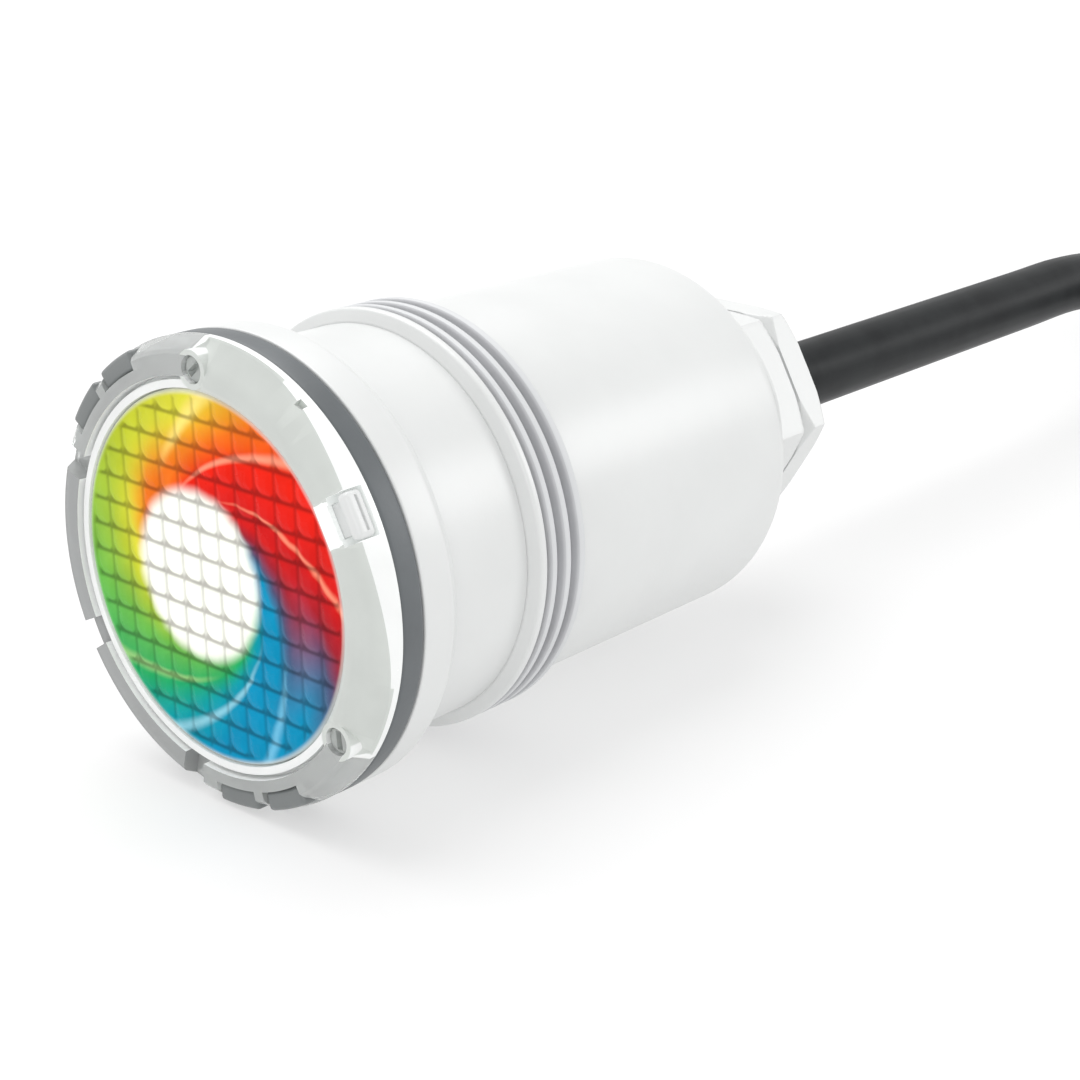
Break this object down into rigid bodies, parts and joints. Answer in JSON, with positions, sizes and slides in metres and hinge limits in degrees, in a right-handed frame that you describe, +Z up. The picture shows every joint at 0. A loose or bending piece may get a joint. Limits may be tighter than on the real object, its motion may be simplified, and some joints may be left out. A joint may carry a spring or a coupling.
{
  "type": "underwater pool light",
  "caption": "Submersible pool light that plugs into a wall conduit: coloured lens in a clear castellated cap, white sealed housing, hexagonal cable gland and rubber cable in a tied hank.",
  "frame": {"origin": "on the lamp's axis, at the flange's rear face, which seats on the conduit's end", "axes": "+Y along the lamp's axis towards the cable, so the lens faces -Y; +Z up, with the lamp lying on its flange's rim and its cable"},
  "size_m": [0.0838, 0.3785, 0.048],
  "materials": {
    "clear_cap": "clear moulded polycarbonate with a slight grey tint",
    "colour_lens": "moulded lens with a blended rainbow swirl and small scale-shaped facets",
    "grey_gasket": "soft grey rubber",
    "white_plastic": "white moulded plastic with a satin surface",
    "white_rubber": "soft white rubber",
    "black_rubber": "soft black rubber",
    "stainless": "stainless steel",
    "sink_metal": "bare extruded aluminium",
    "board_white": "white solder mask",
    "emitter": "white package with a yellow window",
    "heat_pad": "soft grey-blue pad",
    "brass": "turned brass",
    "board_green": "green solder mask",
    "wound_wire": "enamelled copper wire",
    "can_blue": "dark blue sleeve",
    "chip_black": "black moulding compound",
    "block_green": "green moulded plastic",
    "wire_red": "red insulation",
    "wire_black": "black insulation",
    "wire_brown": "brown insulation",
    "wire_blue": "blue insulation",
    "resin": "cast resin",
    "slip_plastic": "slippery natural plastic",
    "cable_rubber": "dark grey rubber sheath with a satin surface",
    "tie_black": "black moulded plastic",
    "tinned_copper": "tinned copper"
  },
  "bodies": {
    "housing": {"front_cap": "clear_cap", "lens_disc": "colour_lens", "lens_seal": "black_rubber", "cap_screws": "clear_cap", "front_gasket": "grey_gasket", "front_collar": "white_plastic", "housing_tube": "white_plastic", "seal_fins": "white_rubber", "rear_plug": "white_plastic", "plug_seal": "black_rubber", "reflector": "white_plastic", "led_board": "board_white", "led_emitters": "emitter", "board_screws": "stainless", "thermal_pad": "heat_pad", "heat_sink": "sink_metal", "standoffs": "brass", "driver_board": "board_green", "inductor": "wound_wire", "capacitors": "can_blue", "rectifier_diodes": "chip_black", "controller_chip": "chip_black", "terminal_block": "block_green", "led_lead_red": "wire_red", "led_lead_black": "wire_black", "supply_core_brown": "wire_brown", "supply_core_blue": "wire_blue", "potting_plug": "resin", "gland_locknut": "white_plastic", "gland_body": "white_plastic", "gland_face_seal": "black_rubber", "gland_grommet": "black_rubber", "cable_entry": "cable_rubber", "power_cable": "cable_rubber", "cable_hank": "cable_rubber", "cable_tail": "cable_rubber", "cable_ties": "tie_black", "core_brown": "wire_brown", "core_blue": "wire_blue", "core_ferrules": "tinned_copper"},
    "latch": {"cap_latch": "white_plastic"},
    "washer": {"gland_washer": "slip_plastic"},
    "nut": {"gland_nut": "white_plastic"}
  },
  "joints": [
    {"name": "latch_push", "type": "slide", "parent": "housing", "child": "latch", "axis": [-0.8746, 0, -0.4848], "range_m": [0, 0.001], "stiffness_N_per_m": 400},
    {"name": "washer_slide", "type": "slide", "parent": "housing", "child": "washer", "axis": [0, 1, 0], "range_m": [0, 0.0031]},
    {"name": "nut_turn", "type": "hinge", "parent": "washer", "child": "nut", "pos_m": [0, 0.0764, 0], "axis": [0, 1, 0], "range_deg": [0, 720]}
  ],
  "couplings": [
    {"joint": "washer_slide", "follows": "nut_turn", "m_per_rad": 0.00023873}
  ]
}
